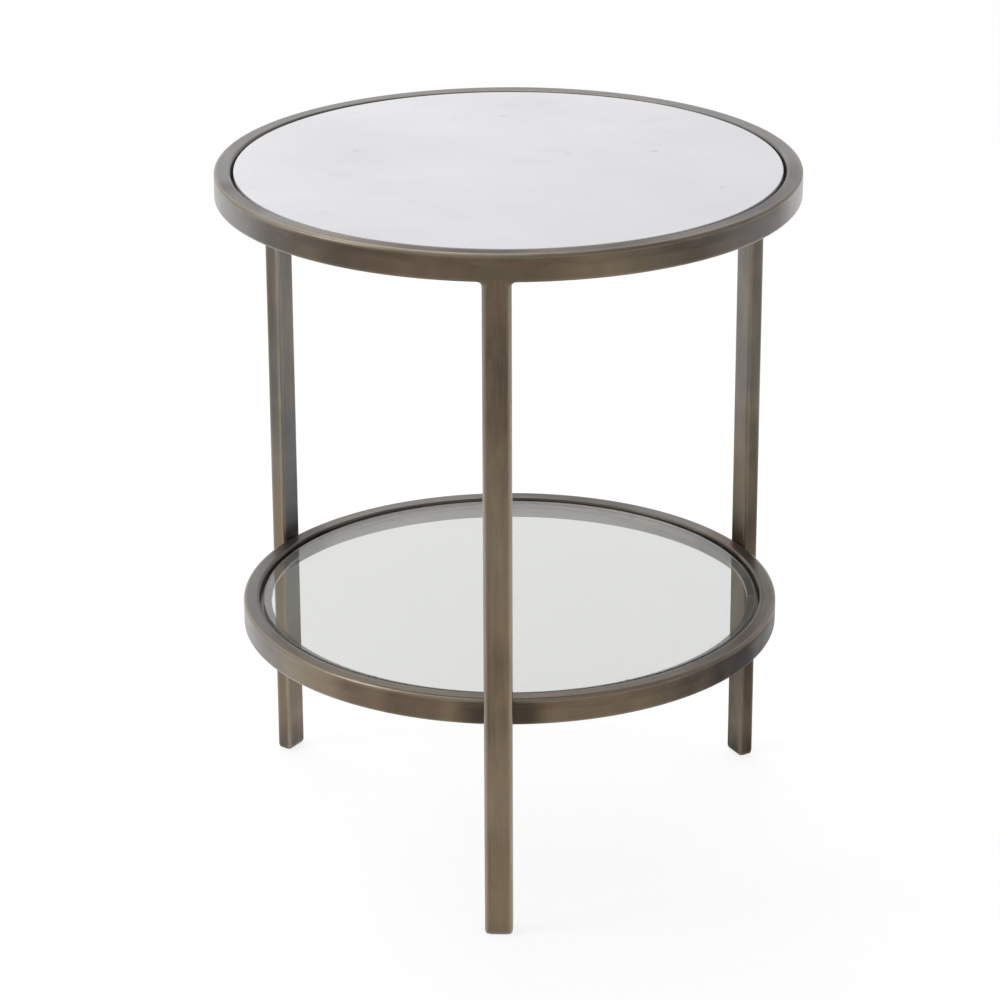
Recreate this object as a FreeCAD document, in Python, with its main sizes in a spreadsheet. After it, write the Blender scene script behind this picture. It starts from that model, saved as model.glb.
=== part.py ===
import FreeCAD, Part
import math
import os

import Sketcher
from FreeCAD import Placement, Rotation, Vector

# A round two-tier side table: a welded frame of one rectangular tube, bent into two rings that
# stand on three straight legs, with a marble disc dropped into the upper ring and a glass disc
# dropped into the lower one. Millimetres, +Z up, the origin on the floor under the centre.
# One leg points to the front, along -Y.

UP = Vector(0, 0, 1)
UPRIGHT = Rotation()
LYING = Rotation(Vector(0, 1, 0), 90)
SIDES = (-1, 1)
LEG_PLACES = ("front", "rear_right", "rear_left")
FRONT_ANGLE = -90
LEG_ANGLES = {place: FRONT_ANGLE + turn * 360 // len(LEG_PLACES) for turn, place in enumerate(LEG_PLACES)}
PAD_COUNT = 6

# Driving dimensions: alias, value, what it measures.
SIZES = (
    ("table_height", 635.0, "floor to the top of the upper ring"),
    ("top_diameter", 525.0, "outside of the upper ring"),
    ("shelf_height", 224.0, "floor to the top of the lower ring"),
    ("tube_width", 25.0, "wide side of the tube: height of a ring, width of a leg"),
    ("tube_depth", 15.0, "narrow side of the tube, along the table's radius"),
    ("tube_wall", 1.5, "wall of the tube"),
    ("tube_corner", 3.0, "outside corner radius of the tube"),
    ("vent_diameter", 5.0, "drain hole in the underside of each ring"),
    ("weld_gap", 0.2, "fit-up gap that a weld bridges"),
    ("weld_radius", 4.0, "hollow of the weld between a leg and the upper ring"),
    ("ledge_width", 11.0, "how far a ledge reaches in from its ring"),
    ("ledge_thickness", 3.0, "flat bar of a ledge"),
    ("marble_thickness", 18.0, "marble disc"),
    ("marble_gap", 2.5, "between the marble and its ring, all round"),
    ("marble_recess", 0.5, "marble face below the top of its ring"),
    ("marble_edge", 1.0, "eased edge of the marble"),
    ("glass_thickness", 5.0, "glass disc"),
    ("glass_gap", 3.5, "between the glass and its ring, all round"),
    ("glass_recess", 2.0, "glass face below the top of its ring"),
    ("glass_edge", 0.6, "ground arris of the glass"),
    ("pad_diameter", 6.0, "clear bumper pad"),
    ("pad_crown", 4.6, "upper face of a bumper pad"),
    ("pad_thickness", 1.0, "bumper pad"),
    ("cap_thickness", 3.0, "plate that closes the foot of a leg"),
    ("cap_round", 2.5, "rounding of that plate at the floor"),
    ("glide_thickness", 1.0, "felt glide under a foot"),
    ("glide_inset", 3.5, "glide's edge inside the leg's outline"),
)

# Places that several pieces share, as expressions of the driving dimensions.
TOP_RADIUS = "Sizes.top_diameter / 2"
TUBE_CIRCLE = f"({TOP_RADIUS} - Sizes.tube_depth / 2)"
TOP_BORE = f"({TOP_RADIUS} - Sizes.tube_depth)"
SHELF_RADIUS = f"({TOP_BORE} - Sizes.weld_gap)"
SHELF_CIRCLE = f"({SHELF_RADIUS} - Sizes.tube_depth / 2)"
SHELF_BORE = f"({SHELF_RADIUS} - Sizes.tube_depth)"
TOP_UNDERSIDE = "(Sizes.table_height - Sizes.tube_width)"
SHELF_UNDERSIDE = "(Sizes.shelf_height - Sizes.tube_width)"
LEG_FOOT = "(Sizes.glide_thickness + Sizes.cap_thickness)"
MARBLE_RADIUS = f"({TOP_BORE} - Sizes.marble_gap)"
MARBLE_BOTTOM = "(Sizes.table_height - Sizes.marble_recess - Sizes.marble_thickness)"
GLASS_RADIUS = f"({SHELF_BORE} - Sizes.glass_gap)"
GLASS_BOTTOM = "(Sizes.shelf_height - Sizes.glass_recess - Sizes.glass_thickness)"
HALF_WIDTH = "Sizes.tube_width / 2"
HALF_DEPTH = "Sizes.tube_depth / 2"
CORNER = "Sizes.tube_corner"

# Shares of the tube's corner radius and of the weld's hollow, which keep weld metal off knife edges.
FILL_REACH = 0.45
FILL_RISE = 0.7
SEAM_REACH = 0.25
SEAM_RUN = 0.5
BEAD_REACH = 0.8
LEAST_CORNER = 0.2
FILLET_LIMIT = 0.9

doc = FreeCAD.newDocument("SideTable")
sheet = doc.addObject("Spreadsheet::Sheet", "Sizes")
for row, (alias, value, meaning) in enumerate(SIZES, start=1):
    sheet.set(f"A{row}", meaning)
    sheet.set(f"B{row}", str(value))
    sheet.setAlias(f"B{row}", alias)
doc.recompute()

nodes = {}


def size(expression):
    """The present value of an expression of the driving dimensions."""
    return float(sheet.evalExpression(expression))


def keep(label, piece, solids=1):
    """Name a finished sub-part and remember how many solids it should hold."""
    piece.Label = label
    nodes[label] = (piece, solids)
    return piece


def origin_feature(body, role):
    return next(feature for feature in body.Origin.OriginFeatures if feature.Role == role)


def sketch_on(body, plane, along=None, up=None, lift=None):
    """A sketch on one of the body's origin planes, its own origin moved by the expressions."""
    sketch = body.newObject("Sketcher::SketchObject", "Sketch")
    sketch.AttachmentSupport = [(origin_feature(body, plane), "")]
    sketch.MapMode = "FlatFace"
    for axis, shift in (("x", along), ("y", up), ("z", lift)):
        if shift:
            sketch.setExpression(f"AttachmentOffset.Base.{axis}", shift)
    return sketch


def drive(sketch, index, name, expression):
    """Name a constraint and let an expression set it."""
    sketch.renameConstraint(index, name)
    sketch.setExpression(f"Constraints.{name}", expression)


def circle(sketch, name, radius):
    """A circle about the sketch's origin."""
    geometry = sketch.addGeometry(Part.Circle(Vector(), UP, size(radius)))
    sketch.addConstraint(Sketcher.Constraint("Coincident", geometry, 3, -1, 1))
    index = sketch.addConstraint(Sketcher.Constraint("Radius", geometry, size(radius)))
    drive(sketch, index, name, radius)


def rounded_rectangle(sketch, name, span_x, span_y, corner):
    """A rounded rectangle about the sketch's origin."""
    half_x = size(span_x) / 2
    half_y = size(span_y) / 2
    radius = size(corner)
    inner_x = half_x - radius
    inner_y = half_y - radius
    runs = (
        (Vector(-inner_x, -half_y), Vector(inner_x, -half_y)),
        (Vector(half_x, -inner_y), Vector(half_x, inner_y)),
        (Vector(inner_x, half_y), Vector(-inner_x, half_y)),
        (Vector(-half_x, inner_y), Vector(-half_x, -inner_y)),
    )
    centres = ((inner_x, -inner_y), (inner_x, inner_y), (-inner_x, inner_y), (-inner_x, -inner_y))
    lines = []
    arcs = []
    for turn, (run, centre) in enumerate(zip(runs, centres)):
        start = (turn - 1) * math.pi / 2
        round_corner = Part.Circle(Vector(*centre), UP, radius)
        lines.append(sketch.addGeometry(Part.LineSegment(*run)))
        arcs.append(sketch.addGeometry(Part.ArcOfCircle(round_corner, start, start + math.pi / 2)))
    for turn in range(4):
        following = lines[(turn + 1) % 4]
        sketch.addConstraint(Sketcher.Constraint("Tangent", lines[turn], 2, arcs[turn], 1))
        sketch.addConstraint(Sketcher.Constraint("Tangent", arcs[turn], 2, following, 1))
        direction = "Horizontal" if turn % 2 == 0 else "Vertical"
        sketch.addConstraint(Sketcher.Constraint(direction, lines[turn]))
        if turn:
            sketch.addConstraint(Sketcher.Constraint("Equal", arcs[0], arcs[turn]))
    bottom, right, top, left = lines
    sketch.addConstraint(Sketcher.Constraint("Symmetric", bottom, 1, top, 1, -1, 1))
    spans = (
        (f"{name}_x", Sketcher.Constraint("DistanceX", left, 1, right, 1, 2 * half_x), span_x),
        (f"{name}_y", Sketcher.Constraint("DistanceY", bottom, 1, top, 1, 2 * half_y), span_y),
        (f"{name}_corner", Sketcher.Constraint("Radius", arcs[0], radius), corner),
    )
    for constraint_name, constraint, expression in spans:
        drive(sketch, sketch.addConstraint(constraint), constraint_name, expression)


def tube_section(sketch, span_x, span_y):
    """The tube's outside and its hollow."""
    hollow_corner = f"max({CORNER} - Sizes.tube_wall; {LEAST_CORNER})"
    rounded_rectangle(sketch, "outside", span_x, span_y, CORNER)
    rounded_rectangle(
        sketch, "hollow", f"{span_x} - 2 * Sizes.tube_wall", f"{span_y} - 2 * Sizes.tube_wall", hollow_corner
    )


def pad_up(body, sketch, thickness):
    pad = body.newObject("PartDesign::Pad", "Pad")
    pad.Profile = sketch
    pad.setExpression("Length", thickness)
    doc.recompute()
    return pad


def ease(body, pad, kind, amount, edges):
    """Round or chamfer the chosen edges of a pad."""
    treatment = body.newObject(f"PartDesign::{kind}", kind)
    treatment.Base = (pad, edges)
    treatment.setExpression("Radius" if kind == "Fillet" else "Size", amount)
    body.Tip = treatment
    doc.recompute()


def seat(piece, angle, along, across, height, turn=UPRIGHT):
    """Place a piece in a leg's own directions: out along the leg's radius, across it, and up."""
    piece.Placement = Placement(Vector(), Rotation(UP, angle) * turn)
    piece.setExpression("Placement.Base.x", f"({along}) * cos({angle} deg) - ({across}) * sin({angle} deg)")
    piece.setExpression("Placement.Base.y", f"({along}) * sin({angle} deg) + ({across}) * cos({angle} deg)")
    piece.setExpression("Placement.Base.z", height)


def bent_ring(label, centre_circle, underside):
    """A tube bent into a closed ring, with a drain hole at each leg for the plating bath."""
    body = keep(label, doc.addObject("PartDesign::Body", label))
    section = sketch_on(body, "XZ_Plane", along=centre_circle, up=f"{underside} + {HALF_WIDTH}")
    tube_section(section, "Sizes.tube_depth", "Sizes.tube_width")
    ring = body.newObject("PartDesign::Revolution", "Ring")
    ring.Profile = section
    ring.ReferenceAxis = (origin_feature(body, "Z_Axis"), [""])
    ring.Angle = 360
    doc.recompute()
    closed_volume = ring.Shape.Volume

    hole = sketch_on(body, "XY_Plane", along=centre_circle, lift=underside)
    circle(hole, "drain", "Sizes.vent_diameter / 2")
    drain = body.newObject("PartDesign::Pocket", "Drain")
    drain.Profile = hole
    drain.setExpression("Length", "Sizes.tube_wall")
    drain.Reversed = True
    doc.recompute()
    drains = body.newObject("PartDesign::PolarPattern", "Drains")
    drains.Originals = [drain]
    drains.Axis = (origin_feature(body, "Z_Axis"), [""])
    drains.Angle = 360
    drains.Occurrences = len(LEG_ANGLES)
    body.Tip = drains
    body.Placement = Placement(Vector(), Rotation(UP, FRONT_ANGLE))
    doc.recompute()
    removed = closed_volume - body.Shape.Volume
    drilled = len(LEG_ANGLES) * size("pi * (Sizes.vent_diameter / 2) ^ 2 * Sizes.tube_wall")
    if not math.isclose(removed, drilled, rel_tol=0.01):
        raise RuntimeError(f"{label}: the drain holes remove {removed:.2f} mm3 instead of {drilled:.2f}")


def ledge(label, bore, disc_bottom):
    """A flat bar rolled into a ring and welded inside a tube ring, just under its disc."""
    body = keep(label, doc.addObject("PartDesign::Body", label))
    bottom = f"{disc_bottom} - Sizes.pad_thickness - Sizes.ledge_thickness"
    plan = sketch_on(body, "XY_Plane", lift=bottom)
    circle(plan, "outside", f"{bore} - Sizes.weld_gap")
    circle(plan, "bore", f"{bore} - Sizes.ledge_width")
    pad_up(body, plan, "Sizes.ledge_thickness")


def disc(label, radius, bottom, thickness, kind, edge):
    """A loose round plate with both of its edges eased."""
    body = keep(label, doc.addObject("PartDesign::Body", label))
    plan = sketch_on(body, "XY_Plane", lift=bottom)
    circle(plan, "outside", radius)
    plate = pad_up(body, plan, thickness)
    rims = [
        f"Edge{number}"
        for number, edge_shape in enumerate(plate.Shape.Edges, start=1)
        if isinstance(edge_shape.Curve, Part.Circle)
    ]
    ease(body, plate, kind, f"min({edge}; {thickness} * {FILLET_LIMIT} / 2)", rims)


def bumper_pads(name, disc_radius, bore, disc_bottom):
    """Clear pads on a ledge, half way between the disc's edge and the ledge's."""
    circle_radius = f"({disc_radius} + {bore} - Sizes.ledge_width) / 2"
    for number in range(PAD_COUNT):
        angle = number * 360 // PAD_COUNT
        label = f"{name}_{number + 1}"
        pad = keep(label, doc.addObject("Part::Cone", label))
        pad.setExpression("Radius1", "Sizes.pad_diameter / 2")
        pad.setExpression("Radius2", "Sizes.pad_crown / 2")
        pad.setExpression("Height", "Sizes.pad_thickness")
        seat(pad, angle, circle_radius, "0", f"{disc_bottom} - Sizes.pad_thickness")


def leg(place, angle):
    """A straight tube from the foot plate to the underside of the upper ring."""
    label = f"leg_{place}"
    body = keep(label, doc.addObject("PartDesign::Body", label))
    section = sketch_on(body, "XY_Plane")
    tube_section(section, "Sizes.tube_depth", "Sizes.tube_width")
    pad_up(body, section, f"{TOP_UNDERSIDE} - {LEG_FOOT}")
    seat(body, angle, TUBE_CIRCLE, "0", LEG_FOOT)
    return body


def foot_cap(place, angle):
    """The plate that closes a leg, rounded where it meets the floor."""
    label = f"foot_cap_{place}"
    body = keep(label, doc.addObject("PartDesign::Body", label))
    outline = sketch_on(body, "XY_Plane")
    rounded_rectangle(outline, "outside", "Sizes.tube_depth", "Sizes.tube_width", CORNER)
    plate = pad_up(body, outline, "Sizes.cap_thickness")
    floor_edges = [
        f"Edge{number}"
        for number, edge_shape in enumerate(plate.Shape.Edges, start=1)
        if edge_shape.BoundBox.ZMax < size("Sizes.cap_thickness") / 2
    ]
    limit = f"min(Sizes.cap_round; {FILLET_LIMIT} * Sizes.cap_thickness; {FILLET_LIMIT} * {CORNER})"
    ease(body, plate, "Fillet", limit, floor_edges)
    seat(body, angle, TUBE_CIRCLE, "0", "Sizes.glide_thickness")


def glide(place, angle):
    """A thin felt glide stuck under a foot."""
    label = f"glide_{place}"
    body = keep(label, doc.addObject("PartDesign::Body", label))
    outline = sketch_on(body, "XY_Plane")
    rounded_rectangle(
        outline,
        "outside",
        "Sizes.tube_depth - 2 * Sizes.glide_inset",
        "Sizes.tube_width - 2 * Sizes.glide_inset",
        f"min({CORNER}; (Sizes.tube_depth - 2 * Sizes.glide_inset) / 3)",
    )
    pad_up(body, outline, "Sizes.glide_thickness")
    seat(body, angle, TUBE_CIRCLE, "0", "0")


def block(name, angle, along, across, height, spans):
    """A box turned to a leg's direction, from its corner and its three spans."""
    box = doc.addObject("Part::Box", name)
    for side, span in zip(("Length", "Width", "Height"), spans):
        box.setExpression(side, span)
    seat(box, angle, along, across, height)
    return box


def cut(name, base, tool):
    remainder = doc.addObject("Part::Cut", name)
    remainder.Base = base
    remainder.Tool = tool
    return remainder


def weld_group(label, beads):
    group = keep(label, doc.addObject("Part::Compound", label), len(beads))
    group.Links = beads


def top_weld(place, angle, ring):
    """Hollow beads beside a leg's head, and the fill that makes its faces flush with the ring."""
    beads = []
    flat_depth = f"(Sizes.tube_depth - 2 * {CORNER})"
    flat_width = f"(Sizes.tube_width - 2 * {CORNER})"
    start = f"{TUBE_CIRCLE} - {flat_depth} / 2"
    reach = f"{BEAD_REACH} * Sizes.weld_radius"
    for side in SIDES:
        across = HALF_WIDTH if side > 0 else f"-{HALF_WIDTH} - {reach}"
        bead = block("Bead", angle, start, across, f"{TOP_UNDERSIDE} - {reach}", (flat_depth, reach, reach))
        hollow = doc.addObject("Part::Cylinder", "BeadHollow")
        hollow.setExpression("Radius", "Sizes.weld_radius")
        hollow.setExpression("Height", flat_depth)
        axis_across = f"{side} * ({HALF_WIDTH} + Sizes.weld_radius)"
        seat(hollow, angle, start, axis_across, f"{TOP_UNDERSIDE} - Sizes.weld_radius", LYING)
        beads.append(cut("HollowBead", bead, hollow))
    fill_reach = f"min({FILL_REACH} * {CORNER}; {FILLET_LIMIT} * Sizes.tube_wall)"
    fill_spans = (fill_reach, flat_width, f"{FILL_RISE} * {CORNER}")
    for along in (f"{TUBE_CIRCLE} - {HALF_DEPTH}", f"{TUBE_CIRCLE} + {HALF_DEPTH} - {fill_reach}"):
        fill = block("Fill", angle, along, f"-{flat_width} / 2", TOP_UNDERSIDE, fill_spans)
        beads.append(cut("FlushFill", fill, ring))
    weld_group(f"top_weld_{place}", beads)


def shelf_weld(place, angle, ring, leg_body):
    """Two upright seams in the grooves between a leg's inner corners and the lower ring."""
    seams = []
    inner_face = f"{TUBE_CIRCLE} - {HALF_DEPTH}"
    ring_recedes = f"({HALF_WIDTH}) ^ 2 / {SHELF_RADIUS}"
    behind = f"Sizes.weld_gap + {ring_recedes}"
    ahead = f"min({SEAM_REACH} * {CORNER}; {FILLET_LIMIT} * Sizes.tube_wall)"
    run = f"{SEAM_RUN} * {CORNER} + Sizes.weld_gap"
    spans = (f"{behind} + {ahead}", run, f"Sizes.tube_width - 2 * {CORNER}")
    for side in SIDES:
        edge = f"{HALF_WIDTH} + Sizes.weld_gap"
        across = f"{edge} - ({run})" if side > 0 else f"-({edge})"
        seam = block("Seam", angle, f"{inner_face} - ({behind})", across, f"{SHELF_UNDERSIDE} + {CORNER}", spans)
        seams.append(cut("SeamAtRing", cut("SeamAtLeg", seam, leg_body), ring))
    weld_group(f"shelf_weld_{place}", seams)


bent_ring("top_ring", TUBE_CIRCLE, TOP_UNDERSIDE)
bent_ring("shelf_ring", SHELF_CIRCLE, SHELF_UNDERSIDE)
ledge("top_ledge", TOP_BORE, MARBLE_BOTTOM)
ledge("shelf_ledge", SHELF_BORE, GLASS_BOTTOM)
for place, angle in LEG_ANGLES.items():
    leg_body = leg(place, angle)
    foot_cap(place, angle)
    glide(place, angle)
    top_weld(place, angle, nodes["top_ring"][0])
    shelf_weld(place, angle, nodes["shelf_ring"][0], leg_body)
bumper_pads("marble_pad", MARBLE_RADIUS, TOP_BORE, MARBLE_BOTTOM)
bumper_pads("glass_pad", GLASS_RADIUS, SHELF_BORE, GLASS_BOTTOM)
disc("marble_top", MARBLE_RADIUS, MARBLE_BOTTOM, "Sizes.marble_thickness", "Fillet", "Sizes.marble_edge")
disc("glass_shelf", GLASS_RADIUS, GLASS_BOTTOM, "Sizes.glass_thickness", "Chamfer", "Sizes.glass_edge")
doc.recompute()

for item in doc.Objects:
    if "Invalid" in item.State or "Error" in item.State:
        raise RuntimeError(f"{item.Label} did not build: {item.State}")
for label, (piece, solids) in nodes.items():
    shape = piece.Shape
    if shape.isNull() or not shape.isValid() or len(shape.Solids) != solids:
        raise RuntimeError(f"{label} is not {solids} sound solid(s)")

os.makedirs("parts", exist_ok=True)
for label, (piece, solids) in nodes.items():
    piece.Shape.exportStep(f"parts/{label}.step")
print(f"{len(nodes)} sub-parts written")
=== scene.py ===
import math
from collections import namedtuple

import bpy
from mathutils import Matrix, Vector


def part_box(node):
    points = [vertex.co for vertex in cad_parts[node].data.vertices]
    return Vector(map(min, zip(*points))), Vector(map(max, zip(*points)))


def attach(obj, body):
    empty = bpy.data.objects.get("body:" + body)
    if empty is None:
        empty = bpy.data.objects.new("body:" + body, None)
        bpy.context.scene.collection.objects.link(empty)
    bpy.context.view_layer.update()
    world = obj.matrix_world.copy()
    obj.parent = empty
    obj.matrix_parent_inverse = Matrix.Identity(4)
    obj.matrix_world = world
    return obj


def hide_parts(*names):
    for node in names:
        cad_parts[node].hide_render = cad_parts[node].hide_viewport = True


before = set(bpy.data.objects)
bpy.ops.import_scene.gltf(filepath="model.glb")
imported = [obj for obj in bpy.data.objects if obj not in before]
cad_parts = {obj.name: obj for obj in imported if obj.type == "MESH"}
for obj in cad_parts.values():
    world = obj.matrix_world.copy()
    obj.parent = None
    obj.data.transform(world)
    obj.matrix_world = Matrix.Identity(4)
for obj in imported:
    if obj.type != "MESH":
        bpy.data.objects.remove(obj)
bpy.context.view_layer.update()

# A round side table with a marble top, a glass shelf and an aged bronze frame, in a plain studio.
# Metres, +Z up, the origin on the floor under the centre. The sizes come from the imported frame.

UP = Vector((0, 0, 1))
DOWN = -UP
MM = 0.001
QUARTER = math.pi / 2
CIRCLE = 360

Mark = namedtuple("Mark", "place reach dark cool")
Spot = namedtuple("Spot", "point normal grain depth wear dark cool")
Grain = namedtuple("Grain", "along across detail roughness")
Span = namedtuple("Span", "low high to_low to_high")


def colour(red, green, blue):
    return (red, green, blue, 1)


def grey(level):
    return colour(level, level, level)


LEG_ANGLES = {"front": -90, "rear_right": 30, "rear_left": 150}
TUBE_CORNER = 3 * MM
LEDGE_CORNER = 0.3 * MM
WELD_RADIUS = 4 * MM
FOOT_INSET = 2.6 * MM
FOOT_ROUND = 5 * MM
MARBLE_EDGE = 1 * MM
GLASS_EDGE = 0.6 * MM
DRAIN_RADIUS = 2.5 * MM
DRAIN_DEPTH = 12 * MM

# How finely the round forms are divided. From leg to leg a ring has a whole number of steps.
RING_STEPS = 240
CORNER_STEPS = 8
DRAIN_STEPS = 32
WELD_STEPS = 10
FACE_STEPS = 6
TUBE_STEPS = 40

# A rounded edge is rubbed most at its middle, and carries a painted highlight there too; both end within a
# band of the flat beside it.
EDGE_END_WEAR_AND_HIGHLIGHT = 0.3
WEAR_AND_HIGHLIGHT_BAND = 1.2 * MM
# How much of the rubbing and painted highlight of a ring's outer upper edge its other edges have.
LESSER_WEAR_AND_HIGHLIGHT = 0.2
# How much each leg's edges are rubbed and lit: in part a painted highlight, halved on the right rear leg,
# away from the key lamp.
LEG_WEAR_AND_HIGHLIGHT = {"front": 1.0, "rear_right": 0.5, "rear_left": 1.0}

# Where the bronze departs from its mean: a place and reach along the piece, how much darker it is there, or
# lighter below 0, and how much cooler, or warmer below 0. Some are uneven patina and hue; those noted below
# are painted shade and painted light. Along a ring the places are degrees, along a leg metres up from the
# floor.
WELD_MARKS = [Mark(angle, 11, 1.0, 0.0) for angle in LEG_ANGLES.values()]
UPPER_COOL_MARKS = [Mark(180, 62, 0.0, 0.8), Mark(90, 70, 0.0, 0.8), Mark(0, 62, 0.0, 0.8)]
LOWER_COOL_MARKS = [Mark(180, 45, 0.0, 0.8), Mark(90, 70, 0.0, 0.8)]
WALL_MARKS = {
    "top_ring": [
        Mark(-100, 28, 0.5, 0.0),
        Mark(-75, 14, -0.1, -0.4),
        # Painted shade: darker on the right front, standing for the table's shadow on the floor seen in the
        # bronze.
        Mark(-40, 22, 0.5, 0.0),
        Mark(-130, 16, 0.25, 0.0),
        *UPPER_COOL_MARKS,
    ],
    "shelf_ring": [
        # Painted shade: the next two marks darken the right front, standing for the table's shadow on the
        # floor seen in the bronze.
        Mark(-26, 34, 1.0, 0.0),
        Mark(-34, 10, 0.4, 0.0),
        Mark(-108, 9, 0.4, 0.0),
        Mark(-135, 12, -0.45, 0.0),
        Mark(-160, 14, 0.2, 0.0),
        *LOWER_COOL_MARKS,
        Mark(0, 45, 0.0, 0.8),
        Mark(-65, 26, -0.05, -0.7),
        *WELD_MARKS,
    ],
    "top_ledge": WELD_MARKS,
    "shelf_ledge": WELD_MARKS,
}
TOP_MARKS = {
    "top_ring": [
        Mark(-88, 38, 0.65, 0.0),
        # Painted shade: darker on the right front, as on the ring's outer face.
        Mark(-28, 40, 0.4, 0.0),
        Mark(-155, 14, 0.4, 0.0),
        *UPPER_COOL_MARKS,
    ],
    "shelf_ring": [
        # Painted shade: darker on the right front, eased a little by the next mark.
        Mark(-20, 44, 0.3, 0.0),
        Mark(-25, 12, -0.15, 0.0),
        Mark(-140, 10, -0.2, 0.0),
        Mark(80, 24, 0.4, 0.0),
        *LOWER_COOL_MARKS,
        Mark(0, 30, 0.0, 0.6),
        Mark(-90, 50, 0.0, -1.0),
        Mark(30, 11, 0.5, 0.0),
        Mark(150, 11, 0.5, 0.0),
    ],
    "top_ledge": WELD_MARKS,
    # Painted shade darkens the shelf ledge on the right, in the gap round the glass; painted light makes it
    # paler and cooler at the rear, where it is seen through the glass.
    "shelf_ledge": [*WELD_MARKS, Mark(0, 45, 0.35, 0.0), Mark(95, 66, -0.6, 0.4)],
}
# The same, added on the inner side alone. The lower half of a ring's inner side has marks of its own.
# Painted shade: the shelf ring's inner side is darkened on the right and on the left, in the gap round the
# glass.
RING_INNER_MARKS = {"shelf_ring": [Mark(15, 75, 1.0, 0.0), Mark(175, 45, 0.8, 0.0)]}
# On the lower half: painted shade on the right, and painted light at the rear, paler where it is seen
# through the glass.
RING_UNDER_MARKS = {"shelf_ring": [Mark(15, 60, 1.0, 0.0), Mark(95, 62, -0.9, 0.2)]}
# How sharply those marks end where the inner side rounds into a ring's top and underside.
INNER_SHARPNESS = 4
LEG_MARKS = {
    "front": [
        # Painted shade: darker and greyer at the foot, near the floor.
        Mark(0.0, 0.004, 0.1, 0.7),
        # Painted shade and painted reflection: darker at the top of the front leg, and lighter at 0.37 m and
        # 0.145 m, as its reflection of the floor would make it.
        Mark(0.61, 0.24, 0.38, 0.0),
        Mark(0.37, 0.12, -0.26, 0.0),
        Mark(0.24, 0.10, 0.05, -0.6),
        Mark(0.145, 0.07, -0.26, 0.0),
    ],
    "rear_right": [
        # Painted shade: darker at the foot, near the floor.
        Mark(0.0, 0.03, 0.45, 0.0),
        Mark(0.04, 0.09, -0.1, -0.8),
        # Painted shade: the next two marks darken the right rear leg low down and just above the shelf, on
        # the table's shaded right side.
        Mark(0.06, 0.24, 0.8, 0.0),
        Mark(0.285, 0.08, 0.5, 0.0),
        Mark(0.50, 0.22, 0.06, 0.5),
    ],
    "rear_left": [
        # Painted shade: the next two marks darken and grey the foot, near the floor.
        Mark(0.0, 0.004, 0.4, 0.6),
        Mark(0.0, 0.03, 0.5, 0.3),
        Mark(0.26, 0.08, -0.45, 0.0),
        Mark(0.47, 0.22, 0.0, 0.6),
    ],
}
# Darker on a leg's inner faces just above the shelf ring.
SHELF_JOIN_DARKENING = Mark(0.237, 0.028, 0.29, 0.3)
LEG_INNER_MARKS = {
    "front": [SHELF_JOIN_DARKENING],
    # Painted light: the right rear leg's inner faces are lighter near 0.16 m, where the leg is seen through
    # the glass.
    "rear_right": [SHELF_JOIN_DARKENING, Mark(0.16, 0.05, -0.25, 0.0), Mark(0.285, 0.07, -0.8, -0.4)],
    "rear_left": [
        SHELF_JOIN_DARKENING,
        Mark(0.065, 0.03, 0.25, 0.0),
        # Painted light: lighter and cooler near 0.17 m, where the leg is seen through the glass.
        Mark(0.17, 0.06, -0.42, 0.6),
        Mark(0.27, 0.10, -0.08, 1.0),
    ],
}

# Bronze: how fine its noise is along and across the brushing, its colours, and how far each one shows.
TONE = Grain(4.5, 12, 2, 0.5)
PATCHES = Grain(14, 60, 3, 0.55)
HUES = Grain(7, 110, 2, 0.5)
STREAKS = Grain(10, 300, 4, 0.65)
SCRATCHES = Grain(30, 2600, 2, 0.5)
TONE_SHARE = 0.5
PATCH_SHARE = 0.5
PATINA_STOPS = (
    (0.40, colour(0.078, 0.052, 0.026)),
    (0.50, colour(0.127, 0.086, 0.043)),
    (0.60, colour(0.172, 0.124, 0.068)),
)
# The bronze turns olive in some places and orange in others.
HUE_STOPS = ((0.40, colour(0.90, 0.96, 0.95)), (0.60, colour(1.00, 0.85, 0.74)))
HUE_SHARE = 0.8
WARM_TINT = colour(1.0, 0.88, 0.64)
RUBBED_COLOUR = colour(0.200, 0.150, 0.090)
RUBBED_SPAN = Span(0.45, 0.70, 0, 0.40)
STREAKED_COLOUR = colour(0.060, 0.044, 0.028)
STREAKED_SPAN = Span(0.25, 0.50, 0.22, 0)
# Pale colours that lighter marks turn the bronze towards; where those marks are painted light, this is
# painted light.
PALE_WARM_COLOUR = colour(0.300, 0.225, 0.140)
PALE_COOL_COLOUR = grey(0.240)
# The dark brown that darker marks turn towards in patches: staining in part, and painted shade where the
# marks are noted as such.
SHADE_AND_STAIN_COLOUR = colour(0.040, 0.031, 0.023)
SHADE_AND_STAIN_SPAN = Span(0.35, 0.6, 1.0, 0.65)
# Rubbed edges, lightened further as a painted highlight.
WORN_AND_HIGHLIGHT_COLOUR = colour(0.360, 0.305, 0.235)
WORN_AND_HIGHLIGHT_SPAN = Span(0.35, 0.65, 0.45, 0.9)
BRUSHED_ROUGHNESS = Span(0.3, 0.7, 0.34, 0.46)
SHADE_AND_STAIN_ROUGHNESS = 0.25
LACQUER_SPAN = Span(0, 1, 1.0, 0.15)
LACQUER_ROUGHNESS = 0.3
LACQUER_IOR = 1.5
SCRATCH_STRENGTH = 0.12
SCRATCH_HEIGHT = 0.05 * MM

# Marble: its noise, its colours, and how far each one shows.
CLOUDS = {"Scale": 6, "Detail": 4}
CLOUD_STOPS = ((0.35, colour(0.725, 0.723, 0.752)), (0.65, colour(0.790, 0.788, 0.812)))
SMUDGES = {"Scale": 17, "Detail": 3, "Distortion": 0.4}
SMUDGE_COLOUR = colour(0.50, 0.50, 0.53)
SMUDGE_SPAN = Span(0.60, 0.72, 0, 0.10)
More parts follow.
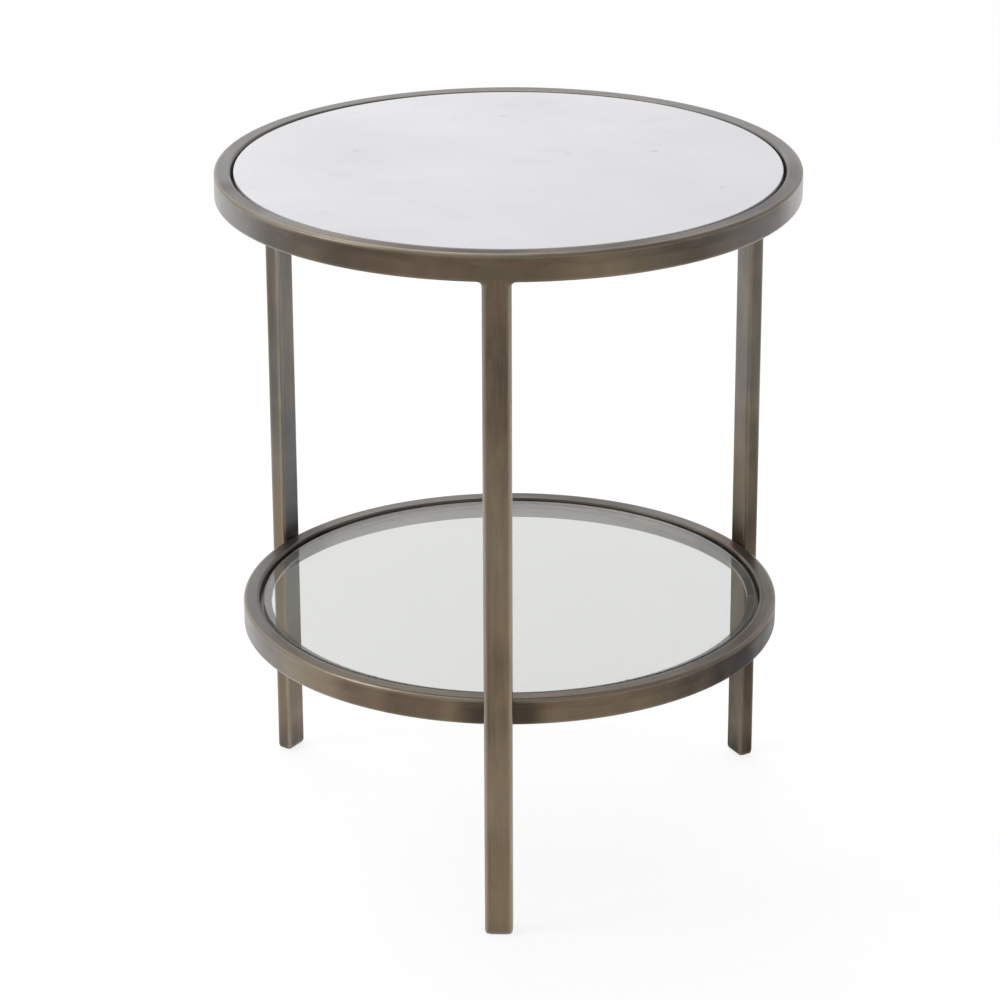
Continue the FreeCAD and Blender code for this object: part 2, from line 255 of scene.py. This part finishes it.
# Veins run where their noise passes its middle, and fade out here and there.
VEINS = {"Scale": 4, "Detail": 5, "Distortion": 0.6}
VEIN_MIDDLE = 0.5
VEIN_COLOUR = colour(0.46, 0.46, 0.50)
VEIN_SPAN = Span(0, 0.012, 0.08, 0)
VEIN_BREAKS = {"Scale": 7, "Detail": 2}
VEIN_BREAK_SPAN = Span(0.45, 0.65, 0, 1)
# A few of the cells that the face is divided into have a small grey fleck with a ragged edge.
CELL_SCALE = 15
CELL_RAGS = {"Scale": 160, "Detail": 2}
CELL_RAG_REACH = (0.010, 0.010, 0)
CELL_CHOICE_SPAN = Span(0.72, 1.0, 0, 0.38)
FLECK_COLOUR = colour(0.40, 0.40, 0.42)
FLECK_SPAN = Span(0.02, 0.075, 1, 0)
MARBLE_ROUGHNESS = 0.12
MARBLE_IOR = 1.5

CLEAR_TINT = colour(0.725, 0.738, 0.720)
CLEAR_ROUGHNESS = 0.0
GROUND_TINT = colour(0.42, 0.47, 0.43)
GROUND_ROUGHNESS = 0.35
GLASS_IOR = 1.5
GLASS_TRANSMISSION = 0.94
RUBBER_TINT = colour(0.85, 0.86, 0.86)
RUBBER_ROUGHNESS = 0.25
RUBBER_IOR = 1.45
RUBBER_TRANSMISSION = 0.8
FIBRES = {"Scale": 1800, "Detail": 3}
FELT_STOPS = ((0.3, colour(0.110, 0.104, 0.096)), (0.7, colour(0.210, 0.200, 0.185)))
FELT_ROUGHNESS = 0.95

WHITE = grey(1)
FLOOR_SIZE = 80
FLOOR_DIFFUSE = 0.30
FLOOR_GLOW = 0.80
TABLE_MIDDLE = Vector((0, 0, 0.4))
KEY_PLACE = Vector((-1.9, -0.7, 1.7))
KEY_SIZE = 1.0
KEY_POWER = 12
TOP_PLACE = Vector((-0.3, 0.8, 2.3))
TOP_SIZE = 1.2
TOP_POWER = 12
ROOM_SPAN = Span(-1, 1, 0.58, 0.30)
BACK_DIRECTION = Vector((-0.15, 0.92, 0.37))
BACK_FOCUS = 3
BACK_STRENGTH = 0.45
OVERHEAD_DIRECTION = Vector((-0.15, -0.35, 0.92))
OVERHEAD_FOCUS = 8
OVERHEAD_STRENGTH = 0.4
CAMERA_PLACE = Vector((0.1259, -3.2235, 1.5874))
CAMERA_TURN = math.radians(2.388)
CAMERA_DOWN = math.radians(21.553)
CAMERA_ROLL = math.radians(-0.21)
CAMERA_LENS = 135.23
CAMERA_SENSOR = 36


class Skin:
    """A mesh in the making: spots, and the faces between them."""

    def __init__(self):
        self.spots = []
        self.faces = []
        self.flat_normals = []
        self.finishes = []

    def loop(self, spots):
        """Add a row of spots and give their numbers."""
        start = len(self.spots)
        self.spots.extend(spots)
        return list(range(start, len(self.spots)))

    def face(self, corners, flat=None, finish=0):
        """Add a face that looks the way its spots do, or the flat way given."""
        facing = flat or sum((self.spots[corner].normal for corner in corners), Vector())
        points = [self.spots[corner].point for corner in corners]
        turn = sum((a.cross(b) for a, b in zip(points, points[1:] + points[:1])), Vector())
        self.faces.append(corners if turn.dot(facing) > 0 else corners[::-1])
        self.flat_normals.append(flat)
        self.finishes.append(finish)

    def bridge(self, first, second, skip=None, finish=0):
        """Join two closed rows of equal length, leaving out one edge's face if asked."""
        count = len(first)
        for spot in range(count):
            following = (spot + 1) % count
            if spot != skip:
                self.face([first[spot], first[following], second[following], second[spot]], finish=finish)

    def make(self, name, body, slot, materials, *nodes):
        """Turn the skin into a piece of the table that stands for the CAD nodes."""
        mesh = bpy.data.meshes.new(name)
        mesh.from_pydata([spot.point for spot in self.spots], [], self.faces)
        mesh.shade_smooth()
        mesh.normals_split_custom_set(
            [
                flat or self.spots[corner].normal
                for corners, flat in zip(self.faces, self.flat_normals)
                for corner in corners
            ]
        )
        grain = mesh.attributes.new("grain", "FLOAT_VECTOR", "POINT")
        grain.data.foreach_set("vector", [value for spot in self.spots for value in spot.grain])
        for attribute in ("depth", "wear", "dark", "cool"):
            values = mesh.attributes.new(attribute, "FLOAT", "POINT")
            values.data.foreach_set("value", [getattr(spot, attribute) for spot in self.spots])
        for material in materials:
            mesh.materials.append(material)
        mesh.polygons.foreach_set("material_index", self.finishes)
        piece = bpy.data.objects.new(name, mesh)
        bpy.context.scene.collection.objects.link(piece)
        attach(piece, body)
        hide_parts(*nodes)
        return piece


def stack(rows, finish=0):
    """A closed skin through rows of spots, the lowest first. The finish is for its sides alone."""
    skin = Skin()
    loops = [skin.loop(row) for row in rows]
    for lower, upper in zip(loops, loops[1:]):
        skin.bridge(lower, upper, finish=finish)
    skin.face(loops[0], DOWN)
    skin.face(loops[-1], UP)
    return skin


def polar(angle, radius, height):
    return Vector((radius * math.cos(angle), radius * math.sin(angle), height))


def fade(share):
    """Full within half of a reach, then smoothly down to none at the whole of it."""
    near = min(1.0, max(0.0, 2 - 2 * share))
    return near * near * (3 - 2 * near)


def shade_and_blemish(marks, place, period=math.inf):
    """How dark and how cool the marks make the bronze at a place along a piece, painted shade and light
    among them.
    """
    shares = [fade(abs(math.remainder(place - mark.place, period)) / mark.reach) for mark in marks]
    dark = sum(mark.dark * share for mark, share in zip(marks, shares))
    cool = sum(mark.cool * share for mark, share in zip(marks, shares))
    return Vector((dark, cool))


def edge_wear_and_highlight(share):
    """How much rubbing and painted highlight a rounded edge has at a share of the way round it."""
    return EDGE_END_WEAR_AND_HIGHLIGHT + (1 - EDGE_END_WEAR_AND_HIGHLIGHT) * math.sin(share * math.pi)


def round_size(node):
    """Inner radius, outer radius, bottom and top of a round CAD node."""
    radii = [vertex.co.xy.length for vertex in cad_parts[node].data.vertices]
    low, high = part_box(node)
    return min(radii), max(radii), low.z, high.z


def rounded_outline(half_x, half_y, corner):
    """A rounded rectangle as (x, y, normal x, normal y, rubbing and highlight), from its lower right corner
    round.
    """
    outline = []
    flat_x = half_x - corner
    flat_y = half_y - corner
    band = min(WEAR_AND_HIGHLIGHT_BAND, flat_x / 2, flat_y / 2)
    centres = ((flat_x, -flat_y), (flat_x, flat_y), (-flat_x, flat_y), (-flat_x, -flat_y))
    for turn, (centre_x, centre_y) in enumerate(centres):
        for step in range(CORNER_STEPS + 1):
            share = step / CORNER_STEPS
            angle = (turn - 1 + share) * QUARTER
            out_x = math.cos(angle)
            out_y = math.sin(angle)
            x = centre_x + corner * out_x
            y = centre_y + corner * out_y
            outline.append((x, y, out_x, out_y, edge_wear_and_highlight(share)))
        along_x, along_y = -out_y, out_x
        run = 2 * (flat_y if turn % 2 == 0 else flat_x)
        for travel in (band, run - band):
            outline.append((x + along_x * travel, y + along_y * travel, out_x, out_y, 0.0))
    return outline


def drain_hole(skin, cell, angle, radius, height):
    """A round hole in a cell of a ring's underside."""
    centre = polar(angle, radius, height)

    def bearing(corner):
        return (skin.spots[corner].point - centre).to_2d().angle_signed((1, 0))

    corners = sorted(cell, key=bearing)
    first = skin.spots[corners[0]].point - centre
    start = math.atan2(first.y, first.x)
    rows = []
    for level in (height, height + DRAIN_DEPTH):
        spots = []
        for step in range(DRAIN_STEPS):
            out = polar(start + step * math.tau / DRAIN_STEPS, 1, 0)
            point = centre + out * DRAIN_RADIUS
            point.z = level
            # Painted shade: the hole's wall is darkened all the way in.
            spots.append(Spot(point, -out, (point.x, point.y, 0), level, wear=0.0, dark=1.0, cool=0.0))
        rows.append(skin.loop(spots))
    mouth, end = rows
    arc_steps = DRAIN_STEPS // len(corners)
    for number, corner in enumerate(corners):
        following = corners[(number + 1) % len(corners)]
        arc = [mouth[(number * arc_steps + step) % DRAIN_STEPS] for step in range(arc_steps + 1)]
        skin.face([corner, following] + arc[::-1], DOWN)
    skin.bridge(mouth, end)
    skin.face(end, DOWN)


def ring(name, node, material, corner, drains=False):
    """A tube or bar bent into a closed ring, with drain holes under the legs' places if asked."""
    inner, outer, bottom, top = round_size(node)
    middle = (inner + outer) / 2
    level = (bottom + top) / 2
    outline = rounded_outline((outer - inner) / 2, (top - bottom) / 2, corner)
    underside = len(outline) - 2
    step = math.tau / RING_STEPS
    start = math.radians(LEG_ANGLES["front"]) - step / 2
    skin = Skin()
    loops = []
    for number in range(RING_STEPS):
        angle = start + number * step
        degrees = math.degrees(angle)
        on_wall = shade_and_blemish(WALL_MARKS[node], degrees, CIRCLE)
        on_top = shade_and_blemish(TOP_MARKS[node], degrees, CIRCLE)
        inside = shade_and_blemish(RING_INNER_MARKS.get(node, []), degrees, CIRCLE)
        under = shade_and_blemish(RING_UNDER_MARKS.get(node, []), degrees, CIRCLE)
        spots = []
        for x, y, out_x, out_y, wear in outline:
            wear *= 1 if x > 0 and y > 0 else LESSER_WEAR_AND_HIGHLIGHT
            point = polar(angle, middle + x, level + y)
            finish = on_wall.lerp(on_top, max(0.0, out_y))
            finish += (inside if y > 0 else under) * max(0.0, -out_x) ** INNER_SHARPNESS
            spots.append(Spot(point, polar(angle, out_x, out_y), (point.x, point.y, x), y, wear, *finish))
        loops.append(skin.loop(spots))
    leg_spacing = RING_STEPS // len(LEG_ANGLES)
    for number, loop in enumerate(loops):
        following = loops[(number + 1) % RING_STEPS]
        if drains and number % leg_spacing == 0:
            skin.bridge(loop, following, underside)
            cell = [loop[underside], loop[underside + 1], following[underside], following[underside + 1]]
            drain_hole(skin, cell, start + (number + 0.5) * step, middle, bottom)
        else:
            skin.bridge(loop, following)
    skin.make(name, "frame", "frame_metal", [material], node)


def disc(name, node, body, slot, materials, edge):
    """A round plate with rounded edges. Its rim takes the last of its materials."""
    _, radius, bottom, top = round_size(node)
    rows = []
    for level, start in ((bottom + edge, -QUARTER), (top - edge, 0)):
        for corner_step in range(CORNER_STEPS + 1):
            tilt = start + corner_step / CORNER_STEPS * QUARTER
            out = math.cos(tilt)
            rise = math.sin(tilt)
            spots = []
            for step in range(RING_STEPS):
                angle = step * math.tau / RING_STEPS
                point = polar(angle, radius - edge + edge * out, level + edge * rise)
                normal = polar(angle, out, rise)
                spots.append(Spot(point, normal, point, depth=0.0, wear=0.0, dark=0.0, cool=0.0))
            rows.append(spots)
    return stack(rows, len(materials) - 1).make(name, body, slot, materials, node)


class Leg:
    """One leg, its skin placed across its width, in from its outer face, and up."""

    def __init__(self, place):
        low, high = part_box("leg_front")
        self.place = place
        self.angle = math.radians(LEG_ANGLES[place])
        self.number = list(LEG_ANGLES).index(place)
        self.half_width = (high.x - low.x) / 2
        self.depth = high.y - low.y
        self.reach = -low.y
        self.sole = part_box("foot_cap_front")[0].z
        self.ankle = self.sole + FOOT_ROUND
        self.top = high.z
        self.out = polar(self.angle, 1, 0)
        self.side = polar(self.angle + QUARTER, 1, 0)

    def spot(self, across, inward, height, normal, wear, bend=0.0):
        """A spot of the leg's skin. Its bend is 0 on a flat face and 1 on one that follows the ring."""
        radius = self.reach - inward
        flat = self.out * radius + self.side * across
        curved = polar(self.angle + across / self.reach, radius, 0)
        point = flat.lerp(curved, bend)
        point.z = height
        normal_across, normal_out, normal_up = normal
        facing = self.side * normal_across + self.out * normal_out + UP * normal_up
        finish = shade_and_blemish(LEG_MARKS[self.place], height)
        finish += shade_and_blemish(LEG_INNER_MARKS[self.place], height) * max(0.0, -normal_out)
        grain = (height, self.number, across)
        return Spot(point, facing.normalized(), grain, inward, wear * LEG_WEAR_AND_HIGHLIGHT[self.place], *finish)

    def row(self, height, inset=0.0, tilt=QUARTER):
        """One closed row round the leg, drawn in by an inset, its normals tilted up from straight down."""
        level = math.sin(tilt)
        outline = rounded_outline(self.half_width - inset, self.depth / 2 - inset, TUBE_CORNER - inset)
        spots = []
        for x, y, out_x, out_y, wear in outline:
            normal = (out_x * level, out_y * level, -math.cos(tilt))
            spots.append(self.spot(x, self.depth / 2 - y, height, normal, wear * level))
        return spots

    def make(self, piece, rows, material, node):
        """A piece of the leg, through rows of spots."""
        stack(rows).make(f"{piece}_{self.place}", "frame", "frame_metal", [material], f"{node}_{self.place}")

    def tube(self, material):
        """The straight tube, up to where its head begins to spread into the ring."""
        run = self.top - WELD_RADIUS - self.ankle
        rows = [self.row(self.ankle + run * step / TUBE_STEPS) for step in range(TUBE_STEPS + 1)]
        self.make("tube_leg", rows, material, "leg")

    def foot(self, material):
        """The closed end of the tube, rounded where it nears the floor."""
        rows = []
        for step in range(CORNER_STEPS + 1):
            tilt = step / CORNER_STEPS * QUARTER
            height = self.sole + FOOT_ROUND * (1 - math.cos(tilt))
            rows.append(self.row(height, FOOT_INSET * (1 - math.sin(tilt)), tilt))
        self.make("foot", rows, material, "foot_cap")

    def flank(self):
        """A side face from the outer face in, as (drawn in, inward, normal across, normal out, rubbing and
        highlight).
        """
        outer_edge = []
        inner_edge = []
        for step in range(CORNER_STEPS + 1):
            share = step / CORNER_STEPS
            sideways = math.sin(share * QUARTER)
            outward = math.cos(share * QUARTER)
            drawn_in = TUBE_CORNER * (1 - sideways)
            inward = TUBE_CORNER * (1 - outward)
            wear = edge_wear_and_highlight(share)
            outer_edge.append((drawn_in, inward, sideways, outward, wear))
            inner_edge.append((drawn_in, self.depth - inward, sideways, -outward, wear))
        return outer_edge + inner_edge[::-1]

    def head_row(self, turn):
        """A row round the weld, which turns from the leg's own direction into the ring's."""
        bend = math.sin(turn)
        away_across = math.cos(turn)
        away_up = -bend
        edge_across = self.half_width + WELD_RADIUS * (1 - away_across)
        edge_height = self.top - WELD_RADIUS * (1 - bend)
        flank = self.flank()
        row = []
        for side, face_inward in ((1, self.depth), (-1, 0.0)):
            for drawn_in, inward, sideways, outward, wear in flank[::side]:
                across = side * (edge_across - drawn_in * away_across)
                height = edge_height - drawn_in * away_up
                normal = (side * sideways * away_across, outward, sideways * away_up)
                row.append(self.spot(across, inward, height, normal, wear * (1 - bend), bend))
            face_edge = side * (edge_across - TUBE_CORNER * away_across)
            face_height = edge_height - TUBE_CORNER * away_up
            for step in range(1, FACE_STEPS):
                across = face_edge * (1 - 2 * step / FACE_STEPS)
                row.append(self.spot(across, face_inward, face_height, (0, -side, 0), 0.0, bend))
        return row

    def head(self, material):
        """The ground weld between the tube and the upper ring, its faces flush with both."""
        rows = [self.head_row(step / WELD_STEPS * QUARTER) for step in range(WELD_STEPS + 1)]
        self.make("head", rows, material, "top_weld")


class Nodes:
    """A shader's node tree and short ways to add to it."""

    def __init__(self, tree):
        self.tree = tree

    def add(self, kind, inputs, **settings):
        """Add a node, its inputs linked to other nodes' outputs or set to values."""
        node = self.tree.nodes.new(f"ShaderNode{kind}")
        for name, value in settings.items():
            setattr(node, name, value)
        for socket, value in inputs.items():
            if isinstance(value, bpy.types.NodeSocket):
                self.tree.links.new(value, node.inputs[socket])
            else:
                node.inputs[socket].default_value = value
        return node

    def math(self, operation, *values, clamp=False):
        return self.add("Math", dict(enumerate(values)), operation=operation, use_clamp=clamp).outputs[0]

    def times(self, first, second):
        """A product, kept between 0 and 1."""
        return self.math("MULTIPLY", first, second, clamp=True)

    def plus(self, first, second):
        """A sum, kept between 0 and 1."""
        return self.math("ADD", first, second, clamp=True)

    def spread(self, value, span):
        """Map a value's range on to another, clamped."""
        inputs = {
            "Value": value,
            "From Min": span.low,
            "From Max": span.high,
            "To Min": span.to_low,
            "To Max": span.to_high,
        }
        return self.add("MapRange", inputs).outputs[0]


class Paint(Nodes):
    """A material and short ways to add its nodes."""

    def __init__(self, name):
        self.material = bpy.data.materials.new(name)
        self.material.use_nodes = True
        super().__init__(self.material.node_tree)
        self.shader = self.tree.nodes["Principled BSDF"]

    def set(self, **values):
        """Set sockets of the shader, named in small letters with underscores."""
        for name, value in values.items():
            self.shader.inputs[name.replace("_", " ").title().replace("Ior", "IOR")].default_value = value

    def drive(self, socket, value):
        self.tree.links.new(value, self.shader.inputs[socket])

    def attribute(self, name, output="Fac"):
        return self.add("Attribute", {}, attribute_name=name).outputs[output]

    def place(self):
        return self.add("TexCoord", {}).outputs["Object"]

    def noise(self, settings, output="Fac"):
        return self.add("TexNoise", {"Vector": self.place(), **settings}).outputs[output]

    def mix(self, share, first, second, blend="MIX"):
        """Mix two colours. The sockets of the other kinds of mix come between."""
        inputs = {0: share, 6: first, 7: second}
        return self.add("Mix", inputs, data_type="RGBA", blend_type=blend).outputs[2]

    def ramp(self, value, stops):
        node = self.add("ValToRGB", {"Fac": value})
        elements = node.color_ramp.elements
        while len(elements) < len(stops):
            elements.new(1)
        for element, (place, shade) in zip(elements, stops):
            element.position = place
            element.color = shade
        return node.outputs["Color"]


def aged_bronze():
    """Brushed metal with a brown patina, rubbed lighter along the tube and at its edges, with a painted
    highlight on the edges and the marks' painted shade and light.
    """
    paint = Paint("aged_bronze")
    brushing = paint.attribute("grain", "Vector")
    depth = paint.attribute("depth")
    cool = paint.attribute("cool")
    dark = paint.attribute("dark")

    def noise(grain):
        scales = {0: brushing, 1: (grain.along, grain.along, grain.across)}
        inputs = {
            "Vector": paint.add("VectorMath", scales, operation="MULTIPLY").outputs[0],
            "W": paint.times(depth, grain.across),
            "Scale": 1.0,
            "Detail": grain.detail,
            "Roughness": grain.roughness,
        }
        return paint.add("TexNoise", inputs, noise_dimensions="4D").outputs["Fac"]

    patches = noise(PATCHES)
    streaks = noise(STREAKS)
    scratches = noise(SCRATCHES)
    age = paint.plus(paint.times(noise(TONE), TONE_SHARE), paint.times(patches, PATCH_SHARE))
    base = paint.ramp(age, PATINA_STOPS)
    base = paint.mix(HUE_SHARE, base, paint.ramp(noise(HUES), HUE_STOPS), "MULTIPLY")
    base = paint.mix(cool, base, paint.add("RGBToBW", {0: base}).outputs[0])
    base = paint.mix(paint.times(cool, -1), base, WARM_TINT, "MULTIPLY")
    base = paint.mix(paint.spread(streaks, RUBBED_SPAN), base, RUBBED_COLOUR)
    base = paint.mix(paint.spread(streaks, STREAKED_SPAN), base, STREAKED_COLOUR)
    # Lighter marks, below 0, turn the bronze pale warm or grey: painted light where those marks are noted as
    # painted light.
    pale = paint.mix(cool, PALE_WARM_COLOUR, PALE_COOL_COLOUR)
    base = paint.mix(paint.times(dark, -1), base, pale)
    # Darker marks turn the bronze dark brown in patches, rougher and with a thinner lacquer: staining in
    # part, painted shade where the marks are painted shade.
    shade_and_stains = paint.times(dark, paint.spread(patches, SHADE_AND_STAIN_SPAN))
    base = paint.mix(shade_and_stains, base, SHADE_AND_STAIN_COLOUR)
    # The edges lighten where rubbed, and as a painted highlight.
    edge_rubbing_and_highlight = paint.times(paint.attribute("wear"), paint.spread(streaks, WORN_AND_HIGHLIGHT_SPAN))
    paint.drive("Base Color", paint.mix(edge_rubbing_and_highlight, base, WORN_AND_HIGHLIGHT_COLOUR))
    brushed = paint.spread(scratches, BRUSHED_ROUGHNESS)
    paint.drive("Roughness", paint.plus(brushed, paint.times(shade_and_stains, SHADE_AND_STAIN_ROUGHNESS)))
    paint.drive("Coat Weight", paint.spread(shade_and_stains, LACQUER_SPAN))
    bump = {"Height": scratches, "Strength": SCRATCH_STRENGTH, "Distance": SCRATCH_HEIGHT}
    paint.drive("Normal", paint.add("Bump", bump).outputs["Normal"])
    paint.set(metallic=1.0, coat_roughness=LACQUER_ROUGHNESS, coat_ior=LACQUER_IOR)
    return paint.material


def white_marble():
    """Polished white stone with faint cool clouds, a few thin veins and small grey marks."""
    paint = Paint("white_marble")
    base = paint.ramp(paint.noise(CLOUDS), CLOUD_STOPS)
    base = paint.mix(paint.spread(paint.noise(SMUDGES), SMUDGE_SPAN), base, SMUDGE_COLOUR)
    ridge = paint.math("ABSOLUTE", paint.math("SUBTRACT", paint.noise(VEINS), VEIN_MIDDLE))
    breaks = paint.spread(paint.noise(VEIN_BREAKS), VEIN_BREAK_SPAN)
    base = paint.mix(paint.times(paint.spread(ridge, VEIN_SPAN), breaks), base, VEIN_COLOUR)
    bend = {0: paint.noise(CELL_RAGS, "Color"), 1: CELL_RAG_REACH, 2: paint.place()}
    bent = paint.add("VectorMath", bend, operation="MULTIPLY_ADD").outputs[0]
    cells = paint.add("TexVoronoi", {"Vector": bent, "Scale": CELL_SCALE}, voronoi_dimensions="2D").outputs
    kind = paint.add("SeparateColor", {"Color": cells["Color"]}).outputs[0]
    chosen = paint.spread(kind, CELL_CHOICE_SPAN)
    flecks = paint.times(paint.spread(cells["Distance"], FLECK_SPAN), chosen)
    paint.drive("Base Color", paint.mix(flecks, base, FLECK_COLOUR))
    paint.set(roughness=MARBLE_ROUGHNESS, ior=MARBLE_IOR)
    return paint.material


def see_through(name, tint, roughness, ior, transmission):
    """Glass or clear rubber."""
    paint = Paint(name)
    paint.set(base_color=tint, roughness=roughness, ior=ior, transmission_weight=transmission)
    return paint.material


def grey_felt():
    paint = Paint("grey_felt")
    paint.drive("Base Color", paint.ramp(paint.noise(FIBRES), FELT_STOPS))
    paint.set(roughness=FELT_ROUGHNESS)
    return paint.material


def dress(node, material):
    """Give a CAD node that keeps its own shape a finish."""
    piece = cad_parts[node]
    piece.data.materials.clear()
    piece.data.materials.append(material)


def build_table():
    bronze = aged_bronze()
    ring("ring_top", "top_ring", bronze, TUBE_CORNER)
    ring("ring_shelf", "shelf_ring", bronze, TUBE_CORNER, drains=True)
    ring("ledge_top", "top_ledge", bronze, LEDGE_CORNER)
    ring("ledge_shelf", "shelf_ledge", bronze, LEDGE_CORNER)
    felt = grey_felt()
    for place in LEG_ANGLES:
        leg = Leg(place)
        leg.tube(bronze)
        leg.foot(bronze)
        leg.head(bronze)
        dress(f"shelf_weld_{place}", bronze)
        dress(f"glide_{place}", felt)
    disc("disc_marble", "marble_top", "marble_disc", "marble", [white_marble()], MARBLE_EDGE)
    clear = see_through("clear_glass", CLEAR_TINT, CLEAR_ROUGHNESS, GLASS_IOR, GLASS_TRANSMISSION)
    ground = see_through("ground_glass", GROUND_TINT, GROUND_ROUGHNESS, GLASS_IOR, GLASS_TRANSMISSION)
    pane = disc("disc_glass", "glass_shelf", "glass_disc", "glass", [clear, ground], GLASS_EDGE)
    pane.visible_shadow = False
    rubber = see_through("clear_rubber", RUBBER_TINT, RUBBER_ROUGHNESS, RUBBER_IOR, RUBBER_TRANSMISSION)
    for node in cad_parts:
        if "_pad_" in node:
            dress(node, rubber)


def floor():
    """A plain pale floor that glows to white where it is seen, and keeps the table's shadow."""
    mesh = bpy.data.meshes.new("floor")
    half = FLOOR_SIZE / 2
    corners = [(-half, -half, 0), (half, -half, 0), (half, half, 0), (-half, half, 0)]
    mesh.from_pydata(corners, [], [(0, 1, 2, 3)])
    paint = Paint("floor")
    paint.set(base_color=grey(FLOOR_DIFFUSE), roughness=1.0, specular_ior_level=0.0, emission_color=WHITE)
    rays = paint.add("LightPath", {}).outputs
    seen = paint.plus(rays["Is Camera Ray"], rays["Is Glossy Ray"])
    seen = paint.plus(seen, rays["Is Transmission Ray"])
    paint.drive("Emission Strength", paint.times(seen, FLOOR_GLOW))
    mesh.materials.append(paint.material)
    ground = bpy.data.objects.new("floor", mesh)
    bpy.context.scene.collection.objects.link(ground)


def lamp(name, place, width, power):
    """A square soft box that faces the table."""
    light = bpy.data.lights.new(name, "AREA")
    light.size = width
    light.energy = power
    source = bpy.data.objects.new(name, light)
    aim = (TABLE_MIDDLE - place).to_track_quat("-Z", "Y")
    source.matrix_world = Matrix.Translation(place) @ aim.to_matrix().to_4x4()
    bpy.context.scene.collection.objects.link(source)


def surroundings():
    """A pale room, lighter to the left, with a broad soft light behind the table and one above it."""
    world = bpy.data.worlds.new("room")
    world.use_nodes = True
    sky = Nodes(world.node_tree)
    direction = sky.add("TexCoord", {}).outputs["Generated"]
    room = sky.spread(sky.add("SeparateXYZ", {0: direction}).outputs["X"], ROOM_SPAN)

    def glow(towards, focus, power, behind):
        """A soft light from one direction, on top of what is behind it."""
        ends = {0: direction, 1: towards.normalized()}
        along = sky.add("VectorMath", ends, operation="DOT_PRODUCT").outputs["Value"]
        focused = sky.math("POWER", sky.math("MAXIMUM", along, 0.0), focus)
        return sky.math("MULTIPLY_ADD", focused, power, behind)

    lit = glow(BACK_DIRECTION, BACK_FOCUS, BACK_STRENGTH, room)
    strength = glow(OVERHEAD_DIRECTION, OVERHEAD_FOCUS, OVERHEAD_STRENGTH, lit)
    background = world.node_tree.nodes["Background"]
    background.inputs["Color"].default_value = WHITE
    world.node_tree.links.new(strength, background.inputs["Strength"])
    bpy.context.scene.world = world


def photographer():
    camera = bpy.data.cameras.new("camera")
    camera.lens = CAMERA_LENS
    camera.sensor_width = CAMERA_SENSOR
    viewer = bpy.data.objects.new("camera", camera)
    aim = Matrix.Rotation(CAMERA_TURN, 4, "Z") @ Matrix.Rotation(QUARTER - CAMERA_DOWN, 4, "X")
    viewer.matrix_world = Matrix.Translation(CAMERA_PLACE) @ aim @ Matrix.Rotation(CAMERA_ROLL, 4, "Z")
    bpy.context.scene.collection.objects.link(viewer)
    bpy.context.scene.camera = viewer


build_table()
floor()
lamp("key", KEY_PLACE, KEY_SIZE, KEY_POWER)
lamp("top", TOP_PLACE, TOP_SIZE, TOP_POWER)
surroundings()
photographer()
bpy.context.scene.view_settings.view_transform = "Standard"
